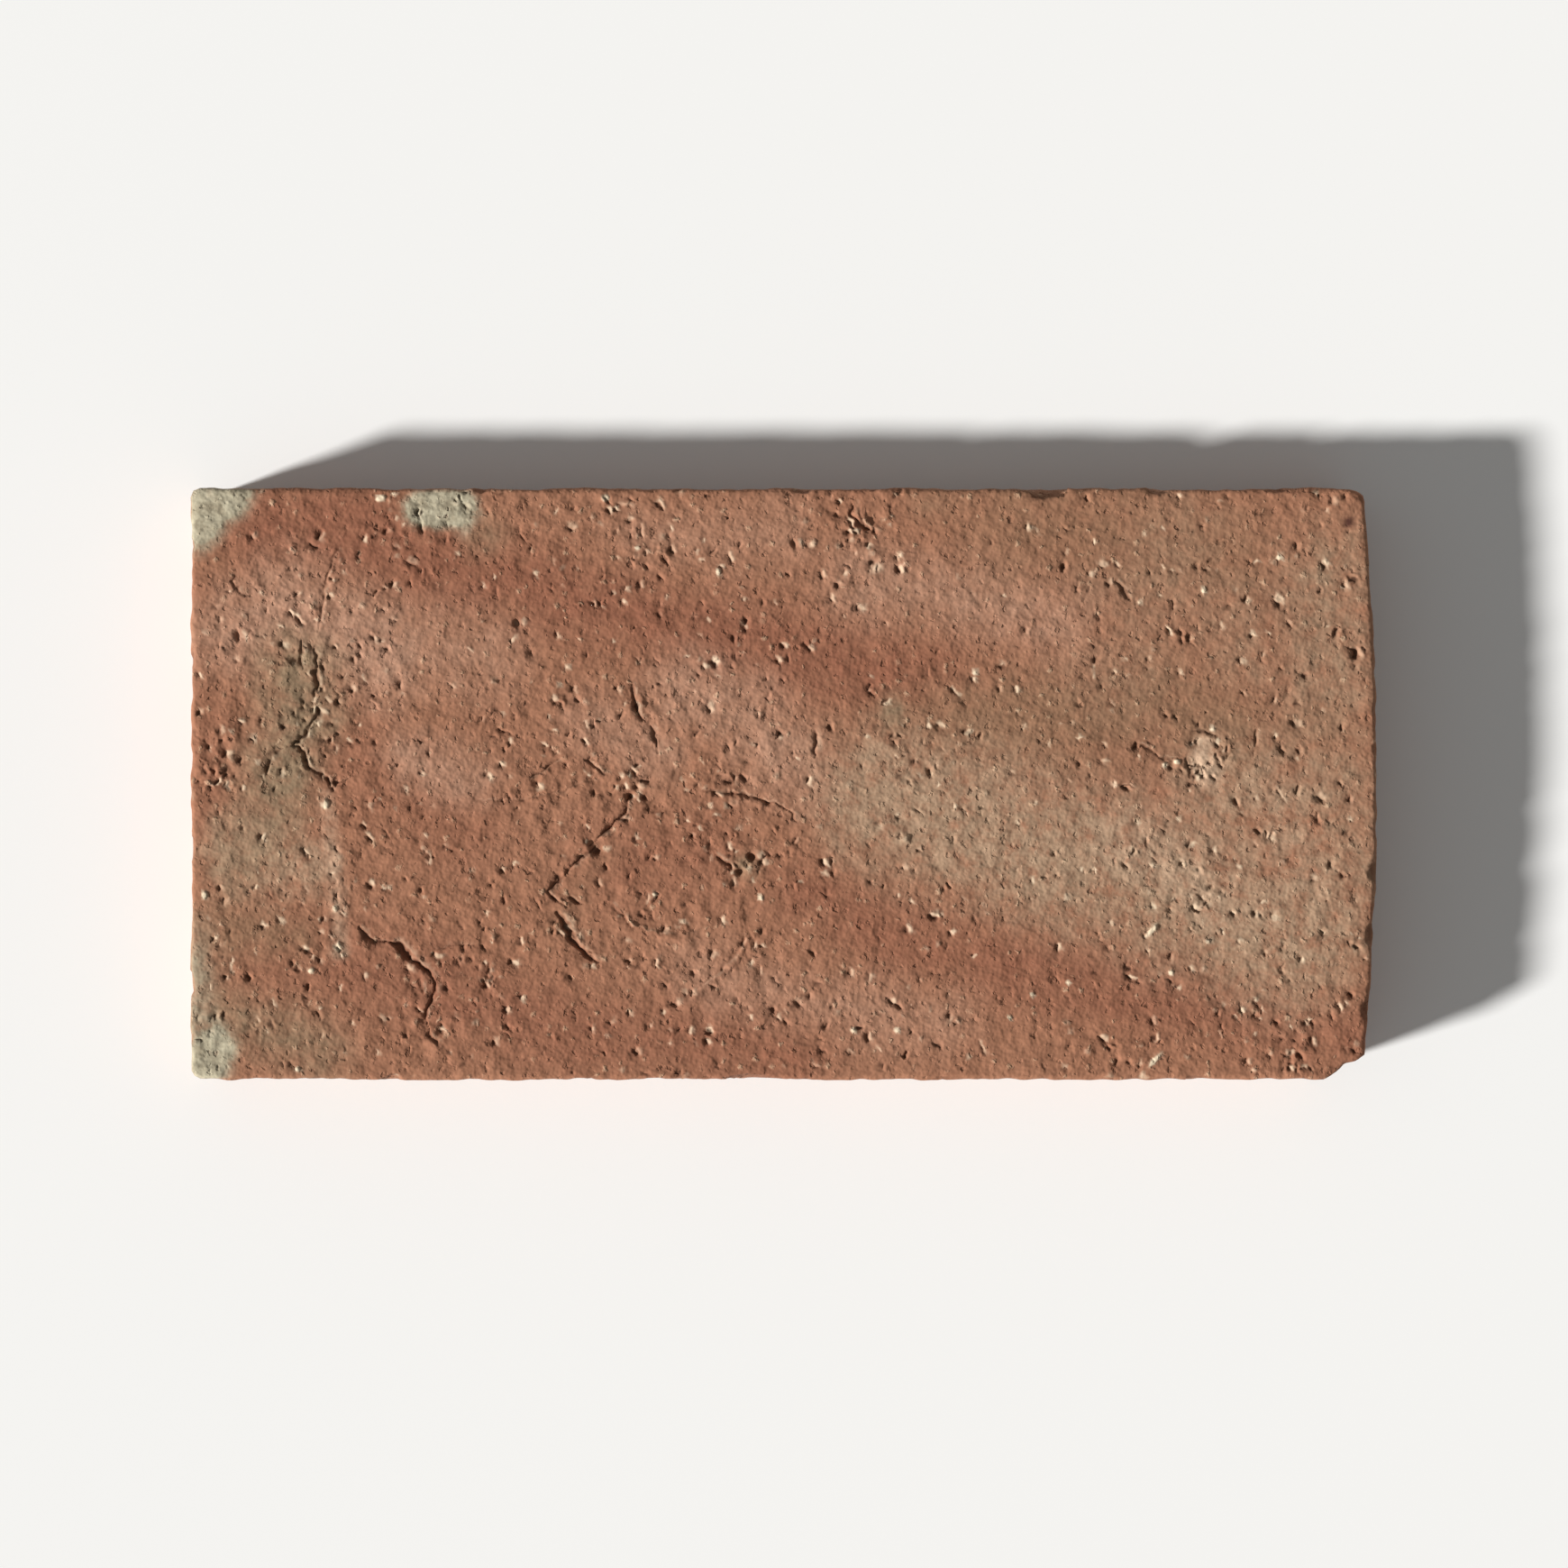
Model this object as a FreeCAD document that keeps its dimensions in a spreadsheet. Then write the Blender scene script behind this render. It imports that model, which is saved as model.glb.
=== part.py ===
# Handmade terracotta floor tile: one slab of fired clay, lying on its bed with the worn face up.
# Millimetres and degrees. X runs along the length, Y across the width and Z up.
# The origin is the middle of the bed: right is +X, back is +Y, and the face is the upper side.
import FreeCAD
import Part
import Sketcher

import os

# Driving dimensions, each written once.
DIMENSIONS = {
    "tile_length": 300.0,
    "tile_width": 150.0,
    "tile_thickness": 25.0,
    # how far the middle of the right end swells past its corners
    "right_bow": 3.2,
    # wear at the three whole corners, as radii in plan
    "left_back_wear": 1.6,
    "left_front_wear": 2.2,
    "right_back_wear": 4.0,
    # the right front corner is broken off: what is lost along each side, and how far the break has worn
    "break_along_front": 10.5,
    "break_along_right": 6.0,
    "break_wear": 2.5,
    # rounding of the upper and lower edges
    "face_arris": 1.4,
    "bed_arris": 0.8,
    # two flakes lost from the upper edges: place along X, length, reach into the face and depth
    "back_flake_place": 66.0,
    "back_flake_length": 11.0,
    "back_flake_reach": 2.8,
    "back_flake_depth": 3.5,
    "front_flake_place": -9.0,
    "front_flake_length": 12.0,
    "front_flake_reach": 1.8,
    "front_flake_depth": 6.0,
    # three drying cracks stand open in the face: where each starts, along X from the left side and along Y from
    # the middle, the runs along X and Y to its next points, how far it gapes along X, and its depth
    "left_crack_x": 43.0,
    "left_crack_y": -36.0,
    "left_crack_run_1_x": 8.5,
    "left_crack_run_1_y": -3.7,
    "left_crack_run_2_x": 10.0,
    "left_crack_run_2_y": -9.3,
    "left_crack_run_3_x": -2.0,
    "left_crack_run_3_y": -10.0,
    "left_crack_run_4_x": 3.5,
    "left_crack_run_4_y": -7.0,
    "left_crack_gape": 1.7,
    "left_crack_depth": 1.6,
    "middle_crack_x": 111.5,
    "middle_crack_y": -3.5,
    "middle_crack_run_1_x": -9.0,
    "middle_crack_run_1_y": -12.5,
    "middle_crack_run_2_x": -12.0,
    "middle_crack_run_2_y": -11.0,
    "middle_crack_gape": 1.6,
    "middle_crack_depth": 1.4,
    "front_crack_x": 93.0,
    "front_crack_y": -32.5,
    "front_crack_run_1_x": 3.5,
    "front_crack_run_1_y": -7.0,
    "front_crack_run_2_x": 7.0,
    "front_crack_run_2_y": -5.5,
    "front_crack_gape": 2.0,
    "front_crack_depth": 1.6,
    # five pits where grit was plucked from the face: place along X from the left side and along Y from the
    # middle, and radius
    "middle_pit_x": 141.8,
    "middle_pit_y": -18.5,
    "middle_pit_radius": 1.7,
    "lower_pit_x": 138.4,
    "lower_pit_y": -22.4,
    "lower_pit_radius": 1.3,
    "back_pit_x": 152.5,
    "back_pit_y": 60.5,
    "back_pit_radius": 1.4,
    "upper_pit_x": 82.5,
    "upper_pit_y": 40.5,
    "upper_pit_radius": 1.3,
    "left_pit_x": 12.3,
    "left_pit_y": 37.5,
    "left_pit_radius": 1.5,
}
# stretches between the named points of each crack
CRACK_RUNS = {"left_crack": 4, "middle_crack": 2, "front_crack": 2}
PITS = ["middle_pit", "lower_pit", "back_pit", "upper_pit", "left_pit"]
START = 1
END = 2
ORIGIN = (-1, 1)
HEIGHT_TOLERANCE = 1e-4


def dimension_sheet(doc):
    """Spreadsheet of the driving dimensions, one named cell to a row."""
    sheet = doc.addObject("Spreadsheet::Sheet", "Dimensions")
    for row, (alias, value) in enumerate(DIMENSIONS.items(), start=1):
        sheet.set(f"A{row}", alias)
        sheet.set(f"B{row}", str(value))
        sheet.setAlias(f"B{row}", alias)
    doc.recompute()
    return sheet


def bind(feature, formulas):
    """Binds properties of a feature to formulas over the sheet's cells, and rebuilds it."""
    for name, formula in formulas.items():
        feature.setExpression(name, formula)
    feature.Document.recompute()


def plan_sketch(body, name):
    """Empty sketch on the plane of the bed."""
    sketch = body.newObject("Sketcher::SketchObject", name)
    bed_plane = next(plane for plane in body.Origin.OriginFeatures if plane.Role == "XY_Plane")
    sketch.AttachmentSupport = [(bed_plane, "")]
    sketch.MapMode = "FlatFace"
    return sketch


def join_ends(sketch, pieces):
    """Joins the end of each piece of an outline to the start of the next one."""
    for piece, following in zip(pieces, pieces[1:] + pieces[:1]):
        sketch.addConstraint(Sketcher.Constraint("Coincident", piece, END, following, START))


def measure(sketch, name, placing, formula):
    """Adds a named measure to a sketch and binds it to a formula over the sheet's cells."""
    index = sketch.addConstraint(Sketcher.Constraint(*placing))
    sketch.renameConstraint(index, name)
    sketch.setExpression(f"Constraints.{name}", formula)


def plan_outline(body, sheet):
    """Outline of the tile: straight front, back and left sides, and a right end that bows outwards."""
    right_x = sheet.tile_length / 2 - sheet.right_bow
    left_x = -sheet.tile_length / 2
    half_width = sheet.tile_width / 2
    left_front = FreeCAD.Vector(left_x, -half_width, 0)
    right_front = FreeCAD.Vector(right_x, -half_width, 0)
    right_back = FreeCAD.Vector(right_x, half_width, 0)
    left_back = FreeCAD.Vector(left_x, half_width, 0)
    crown = FreeCAD.Vector(sheet.tile_length / 2, 0, 0)

    sketch = plan_sketch(body, "plan_outline")
    front = sketch.addGeometry(Part.LineSegment(left_front, right_front))
    right = sketch.addGeometry(Part.Arc(right_front, crown, right_back))
    back = sketch.addGeometry(Part.LineSegment(right_back, left_back))
    left = sketch.addGeometry(Part.LineSegment(left_back, left_front))
    join_ends(sketch, [front, right, back, left])
    sketch.addConstraint(Sketcher.Constraint("Horizontal", front))
    sketch.addConstraint(Sketcher.Constraint("Horizontal", back))
    sketch.addConstraint(Sketcher.Constraint("Vertical", left))
    sketch.addConstraint(Sketcher.Constraint("Vertical", right, START, right, END))

    half_length = "Dimensions.tile_length / 2"
    half_chord = "Dimensions.tile_width / 2"
    bow = "Dimensions.right_bow"
    measure(sketch, "left_side", ("DistanceX", front, START, *ORIGIN, -left_x), half_length)
    measure(sketch, "right_corners", ("DistanceX", *ORIGIN, front, END, right_x), f"{half_length} - {bow}")
    measure(sketch, "front_side", ("DistanceY", front, START, *ORIGIN, half_width), half_chord)
    measure(sketch, "back_side", ("DistanceY", *ORIGIN, back, START, half_width), half_chord)
    # an arc that rises by its bow over its chord has this radius
    radius = f"(({half_chord})^2 + {bow}^2) / (2 * {bow})"
    measure(sketch, "right_radius", ("Radius", right, sketch.Geometry[right].Radius), radius)
    return sketch


def moulded_slab(body, sheet):
    """Slab raised from its plan to the height of the face."""
    outline = plan_outline(body, sheet)
    slab = body.newObject("PartDesign::Pad", "moulded_slab")
    slab.Profile = outline
    bind(slab, {"Length": "Dimensions.tile_thickness"})
    return slab


def broken_corner(body, sheet):
    """Cut along the line of the break, which takes the right front corner off from bed to face."""
    lost_x = sheet.break_along_front
    lost_y = sheet.break_along_right
    corner_x = sheet.tile_length / 2 - sheet.right_bow
    corner_y = -sheet.tile_width / 2
    # the triangle runs past both sides by as much again as the break is long
    near = FreeCAD.Vector(corner_x - 2 * lost_x, corner_y - lost_y, 0)
    outside = FreeCAD.Vector(corner_x + lost_x, corner_y - lost_y, 0)
    far = FreeCAD.Vector(corner_x + lost_x, corner_y + 2 * lost_y, 0)

    sketch = plan_sketch(body, "break_line")
    base = sketch.addGeometry(Part.LineSegment(near, outside))
    upright = sketch.addGeometry(Part.LineSegment(outside, far))
    line = sketch.addGeometry(Part.LineSegment(far, near))
    join_ends(sketch, [base, upright, line])
    sketch.addConstraint(Sketcher.Constraint("Horizontal", base))
    sketch.addConstraint(Sketcher.Constraint("Vertical", upright))
    along = "Dimensions.break_along_front"
    across = "Dimensions.break_along_right"
    outside_x = f"Dimensions.tile_length / 2 - Dimensions.right_bow + {along}"
    outside_y = f"Dimensions.tile_width / 2 + {across}"
    measure(sketch, "outside_x", ("DistanceX", *ORIGIN, base, END, outside.x), outside_x)
    measure(sketch, "outside_y", ("DistanceY", base, END, *ORIGIN, -outside.y), outside_y)
    measure(sketch, "base", ("DistanceX", base, START, base, END, 3 * lost_x), f"3 * {along}")
    measure(sketch, "upright", ("DistanceY", upright, START, upright, END, 3 * lost_y), f"3 * {across}")

    cut = body.newObject("PartDesign::Pocket", "broken_corner")
    cut.Profile = sketch
    cut.Reversed = True
    bind(cut, {"Length": "Dimensions.tile_thickness"})
    confirm_cut(cut)
    return cut


def confirm_cut(feature):
    """Stops the build if a cut takes nothing off the tile."""
    if feature.Shape.Volume >= feature.BaseFeature.Shape.Volume:
        raise RuntimeError(f"{feature.Name} takes nothing off the tile")


def corner_edges(shape, x_sign, y_sign):
    """Names of the upright edges in one quarter of the plan."""
    names = []
    for number, edge in enumerate(shape.Edges, start=1):
        upright = edge.BoundBox.ZLength > shape.BoundBox.ZLength - HEIGHT_TOLERANCE
        middle = edge.CenterOfMass
        if upright and middle.x * x_sign > 0 and middle.y * y_sign > 0:
            names.append(f"Edge{number}")
    return names


def rim_edges(shape, height):
    """Names of the edges that lie at one height, all round the slab."""
    names = []
    for number, edge in enumerate(shape.Edges, start=1):
        box = edge.BoundBox
        if max(abs(box.ZMin - height), abs(box.ZMax - height)) < HEIGHT_TOLERANCE:
            names.append(f"Edge{number}")
    return names


def worn_edges(body, name, edges, radius):
    """Rounds edges of the body's last feature to a radius of the sheet."""
    base = body.Tip
    fillet = body.newObject("PartDesign::Fillet", name)
    fillet.Base = (base, edges)
    bind(fillet, {"Radius": f"Dimensions.{radius}"})
    return fillet


def flake(body, side, y_sign):
    """Shell-shaped scar on the upper edge of the front or back, where a flake came away."""
    size = f"Dimensions.{side}_flake"
    scar = body.newObject("PartDesign::SubtractiveEllipsoid", f"{side}_flake")
    bind(scar, {
        "Radius1": f"{size}_depth",
        "Radius2": f"{size}_length / 2",
        "Radius3": f"{size}_reach",
        "Placement.Base.x": f"{size}_place",
        "Placement.Base.y": f"{y_sign} * Dimensions.tile_width / 2",
        "Placement.Base.z": "Dimensions.tile_thickness",
    })
    confirm_cut(scar)
    return scar


def crack_outline(sheet, crack):
    """Corners of a crack, pointed at both ends, each as its place and the formulas that give it."""
    cell = f"Dimensions.{crack}"
    x = getattr(sheet, f"{crack}_x") - sheet.tile_length / 2
    y = getattr(sheet, f"{crack}_y")
    across, along = f"{cell}_x - Dimensions.tile_length / 2", f"{cell}_y"
    middles = [(x, y, across, along)]
    for run in range(1, CRACK_RUNS[crack] + 1):
        x += getattr(sheet, f"{crack}_run_{run}_x")
        y += getattr(sheet, f"{crack}_run_{run}_y")
        across += f" + {cell}_run_{run}_x"
        along += f" + {cell}_run_{run}_y"
        middles.append((x, y, across, along))
    tip, *inner, end = middles
    half = getattr(sheet, f"{crack}_gape") / 2
    right = [(x + half, y, f"{across} + {cell}_gape / 2", along) for x, y, across, along in inner]
    left = [(x - half, y, f"{across} - {cell}_gape / 2", along) for x, y, across, along in inner]
    return [tip, *right, end, *reversed(left)]


def open_crack(body, sheet, crack):
    """Groove in the face along a drying crack."""
    corners = crack_outline(sheet, crack)
    places = [FreeCAD.Vector(x, y, 0) for x, y, _, _ in corners]
    sketch = plan_sketch(body, f"{crack}_outline")
    bind(sketch, {"AttachmentOffset.Base.z": "Dimensions.tile_thickness"})
    sides = []
    for place, following in zip(places, places[1:] + places[:1]):
        sides.append(sketch.addGeometry(Part.LineSegment(place, following)))
    join_ends(sketch, sides)
    for number, (side, corner) in enumerate(zip(sides, corners), start=1):
        x, y, across, along = corner
        measure(sketch, f"corner_{number}_x", ("DistanceX", side, START, *ORIGIN, -x), f"-({across})")
        measure(sketch, f"corner_{number}_y", ("DistanceY", side, START, *ORIGIN, -y), f"-({along})")

    groove = body.newObject("PartDesign::Pocket", crack)
    groove.Profile = sketch
    bind(groove, {"Length": f"Dimensions.{crack}_depth"})
    confirm_cut(groove)
    return groove


def plucked_pit(body, pit):
    """Round pit in the face, as deep as its radius, where a piece of grit came out."""
    hole = body.newObject("PartDesign::SubtractiveSphere", pit)
    bind(hole, {
        "Radius": f"Dimensions.{pit}_radius",
        "Placement.Base.x": f"Dimensions.{pit}_x - Dimensions.tile_length / 2",
        "Placement.Base.y": f"Dimensions.{pit}_y",
        "Placement.Base.z": "Dimensions.tile_thickness",
    })
    confirm_cut(hole)
    return hole


doc = FreeCAD.newDocument("terracotta_floor_tile")
sheet = dimension_sheet(doc)
body = doc.addObject("PartDesign::Body", "floor_tile")
body.Label = "floor_tile"

moulded_slab(body, sheet)
broken_corner(body, sheet)
worn_edges(body, "break_wear", corner_edges(body.Tip.Shape, 1, -1), "break_wear")
worn_edges(body, "left_back_wear", corner_edges(body.Tip.Shape, -1, 1), "left_back_wear")
worn_edges(body, "left_front_wear", corner_edges(body.Tip.Shape, -1, -1), "left_front_wear")
worn_edges(body, "right_back_wear", corner_edges(body.Tip.Shape, 1, 1), "right_back_wear")
worn_edges(body, "face_arris", rim_edges(body.Tip.Shape, sheet.tile_thickness), "face_arris")
worn_edges(body, "bed_arris", rim_edges(body.Tip.Shape, 0), "bed_arris")
flake(body, "back", 1)
flake(body, "front", -1)
for crack in CRACK_RUNS:
    open_crack(body, sheet, crack)
for pit in PITS:
    plucked_pit(body, pit)
doc.recompute()

for item in doc.Objects:
    if "Invalid" in item.State or "Error" in item.State:
        raise RuntimeError(f"{item.Name} did not build: {item.State}")
if body.Shape.isNull() or not body.Shape.isValid() or len(body.Shape.Solids) != 1:
    raise RuntimeError("the tile is not one valid solid")

os.makedirs("parts", exist_ok=True)
body.Shape.exportStep(f"parts/{body.Label}.step")
box = body.Shape.optimalBoundingBox()
size = f"{box.XLength:.2f} x {box.YLength:.2f} x {box.ZLength:.2f} mm"
print(f"{body.Label}: {size}, {body.Shape.Volume:.0f} mm3")
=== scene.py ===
# %% [markdown]
# # A handmade terracotta floor tile
# A tile like this is one slab of clay, pressed into a frame, dried and fired. Nothing is fixed to it,
# so the lesson makes a single mesh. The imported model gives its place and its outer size, and the mesh
# stays inside them.

# %% Load the frame
import math
import random

import bmesh
import bpy
import numpy as np
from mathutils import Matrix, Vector, noise


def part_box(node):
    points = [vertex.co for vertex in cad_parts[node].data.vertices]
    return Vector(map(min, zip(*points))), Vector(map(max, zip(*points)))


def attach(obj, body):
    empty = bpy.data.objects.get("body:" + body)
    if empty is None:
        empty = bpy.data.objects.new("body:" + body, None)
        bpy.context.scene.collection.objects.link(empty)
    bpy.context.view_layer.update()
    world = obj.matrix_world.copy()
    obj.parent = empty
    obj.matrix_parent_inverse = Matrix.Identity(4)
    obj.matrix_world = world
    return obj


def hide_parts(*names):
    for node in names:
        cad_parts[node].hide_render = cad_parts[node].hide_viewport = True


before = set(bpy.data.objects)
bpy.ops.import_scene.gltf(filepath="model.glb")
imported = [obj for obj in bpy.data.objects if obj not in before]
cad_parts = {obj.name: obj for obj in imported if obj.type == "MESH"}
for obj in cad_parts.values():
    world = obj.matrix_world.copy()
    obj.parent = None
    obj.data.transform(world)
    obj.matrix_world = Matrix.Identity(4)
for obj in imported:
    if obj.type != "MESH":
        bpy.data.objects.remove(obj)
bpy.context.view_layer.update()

MM = 0.001
low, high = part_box("floor_tile")
LENGTH, WIDTH, THICKNESS = [(b - a) / MM for a, b in zip(low, high)]
print(f"tile {LENGTH:.0f} x {WIDTH:.0f} x {THICKNESS:.0f} mm")

# %% [markdown]
# ## The slab
# The face needs a dense, even mesh, because its pits and cracks are real relief. A box cut by a
# subdivision modifier would be as dense below as above, so the face starts as a grid, its rim is
# extruded down the sides ring by ring, and the hidden underside is one face cut into large cells. All
# of it is worked in millimetres. The outline sits a little inside the CAD box, which leaves room for
# grains that stand proud.

# %% Plan of the face
CELL = 1.12  # side of one cell of the grid
ROOM_ABOVE = 0.9  # left free under the top of the CAD box
ROOM_BESIDE = 0.5  # left free inside its sides
FACE_ARRIS = 1.4  # rounding of the worn upper edge
BED_ARRIS = 0.8  # rounding of the lower edge
RIGHT_BOW = 3.2  # how far the right end bows out in its middle
FACE_LEVEL = THICKNESS - ROOM_ABOVE
RIM = FACE_ARRIS + ROOM_BESIDE

left_x = RIM - LENGTH / 2
right_x = LENGTH / 2 - RIGHT_BOW - RIM
half_width = WIDTH / 2 - RIM

tile = bmesh.new()
bmesh.ops.create_grid(tile, x_segments=round(LENGTH / CELL), y_segments=round(WIDTH / CELL), size=1)
for vert in tile.verts:
    across = vert.co.y
    end_x = right_x + RIGHT_BOW * (1 - across**2)
    vert.co = (left_x + (vert.co.x + 1) / 2 * (end_x - left_x), across * half_width, FACE_LEVEL)
print(f"face grid: {len(tile.faces)} cells")

# %% [markdown]
# ## Worn and broken corners
# Three corners of the face are worn round, each by its own amount, and the fourth has broken off. A
# Bevel modifier would give all of them one radius, so the grid's own vertices are drawn in at each
# corner. The break is a cut with a plane, and noise then eats into it, because fired clay snaps
# unevenly.


# %% Worn corners
def round_corner(mesh, corner, radius):
    """Draws the square at a corner of the grid into a quarter of a disc."""
    side_x = math.copysign(1, corner[0])
    side_y = math.copysign(1, corner[1])
    centre = Vector((corner[0] - side_x * radius, corner[1] - side_y * radius))
    for vert in mesh.verts:
        offset = vert.co.xy - centre
        if offset.x * side_x > 0 and offset.y * side_y > 0:
            offset *= max(abs(offset.x), abs(offset.y)) / offset.length
            vert.co.xy = centre + offset


WORN_CORNERS = [
    ((left_x, half_width), 0.9),
    ((left_x, -half_width), 1.4),
    ((right_x, half_width), 2.4),
]
for corner, radius in WORN_CORNERS:
    round_corner(tile, corner, radius)
print(f"{len(WORN_CORNERS)} worn corners")

# %% Broken corner
BREAK_ALONG_FRONT = 10.5  # how much of the front side is gone
BREAK_ALONG_RIGHT = 6.0  # and of the right end
BREAK_DEPTH = 6.0  # how far in from the break it is uneven
BREAK_UNEVEN = 1.1  # and by how much
BREAK_WAVE = 4  # size of its bites
break_start = Vector((LENGTH / 2 - RIGHT_BOW - BREAK_ALONG_FRONT, -WIDTH / 2, 0))
break_out = Vector((BREAK_ALONG_RIGHT, -BREAK_ALONG_FRONT, 0)).normalized()
break_line = break_start - break_out * RIM
bmesh.ops.bisect_plane(
    tile, geom=tile.verts[:] + tile.edges[:] + tile.faces[:], dist=1e-4,
    plane_co=break_line, plane_no=break_out, clear_outer=True,
)
bmesh.ops.remove_doubles(tile, verts=tile.verts[:], dist=CELL / 4)
for vert in tile.verts:
    inside = (break_line - vert.co).dot(break_out)
    if inside < BREAK_DEPTH:
        bite = abs(noise.noise((vert.co.x / BREAK_WAVE, vert.co.y / BREAK_WAVE, 83)))
        vert.co -= break_out * BREAK_UNEVEN * bite * (1 - inside / BREAK_DEPTH)
print(f"after the break: {len(tile.faces)} cells")

# %% [markdown]
# ## Sides and underside
# The mould left the sides upright, and handling rounded the edges above and below. The rim of the face
# is extruded once for each ring of that profile, which follows every bend of the outline. A Bevel
# modifier could round the edges too, but at the broken corner its faces would overlap. The bed is one
# face, cut into cells by planes.


# %% Rings down the sides
def outward_directions(rim):
    """Direction out of the tile at each vertex of its rim, level with the face."""
    directions = {}
    for edge in rim:
        inside = edge.link_faces[0].calc_center_median()
        along = edge.verts[1].co - edge.verts[0].co
        out = Vector((along.y, -along.x, 0)).normalized()
        if out.dot(edge.verts[0].co - inside) < 0:
            out.negate()
        for vert in edge.verts:
            directions[vert] = directions.get(vert, Vector()) + out
    return {vert: out.normalized() for vert, out in directions.items()}


WALL_STEP = 2.6  # height of a ring on the upright side
ARRIS_STEPS = 4  # rings in the rounding of the upper edge
quarter = [math.pi / 2 * (step + 1) / ARRIS_STEPS for step in range(ARRIS_STEPS)]
wall_top = FACE_LEVEL - FACE_ARRIS
wall_rings = round((wall_top - BED_ARRIS) / WALL_STEP)
# how far out of the rim each ring lies, and at what height
profile = []
for turn in quarter:
    profile.append((FACE_ARRIS * math.sin(turn), FACE_LEVEL - FACE_ARRIS * (1 - math.cos(turn))))
for ring in range(1, wall_rings + 1):
    profile.append((FACE_ARRIS, wall_top + (BED_ARRIS - wall_top) * ring / wall_rings))
for turn in (math.pi / 4, math.pi / 2):
    profile.append((FACE_ARRIS - BED_ARRIS * (1 - math.cos(turn)), BED_ARRIS * (1 - math.sin(turn))))

rim = [edge for edge in tile.edges if edge.is_boundary]
outward = outward_directions(rim)
start = {vert: vert.co.copy() for vert in outward}
for reach, height in profile:
    made = bmesh.ops.extrude_edge_only(tile, edges=rim)["geom"]
    fresh = {item for item in made if isinstance(item, bmesh.types.BMVert)}
    edges = [item for item in made if isinstance(item, bmesh.types.BMEdge)]
    rim = [edge for edge in edges if set(edge.verts) <= fresh]
    for vert in fresh:
        joined = [edge.other_vert(vert) for edge in vert.link_edges]
        above = next(other for other in joined if other not in fresh)
        outward[vert] = outward[above]
        start[vert] = start[above]
        vert.co = start[vert] + outward[vert] * reach
        vert.co.z = height
print(f"{len(profile)} rings of {len(rim)} edges")

# %% Underside
BED_CELL = 7.5
bed = bmesh.ops.contextual_create(tile, geom=rim)["faces"]
geom = bed + rim + [vert for vert in bed[0].verts]
for axis, size in ((0, LENGTH), (1, WIDTH)):
    cuts = round(size / BED_CELL)
    for cut in range(1, cuts):
        cut_at = Vector((0, 0, 0))
        cut_at[axis] = size * (cut / cuts - 0.5)
        facing = Vector((0, 0, 0))
        facing[axis] = 1
        made = bmesh.ops.bisect_plane(tile, geom=geom, dist=1e-3, plane_co=cut_at, plane_no=facing)
        geom = made["geom"]
bmesh.ops.recalc_face_normals(tile, faces=tile.faces[:])
print(f"slab: {len(tile.faces)} faces, {sum(edge.is_boundary for edge in tile.edges)} open edges")
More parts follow.
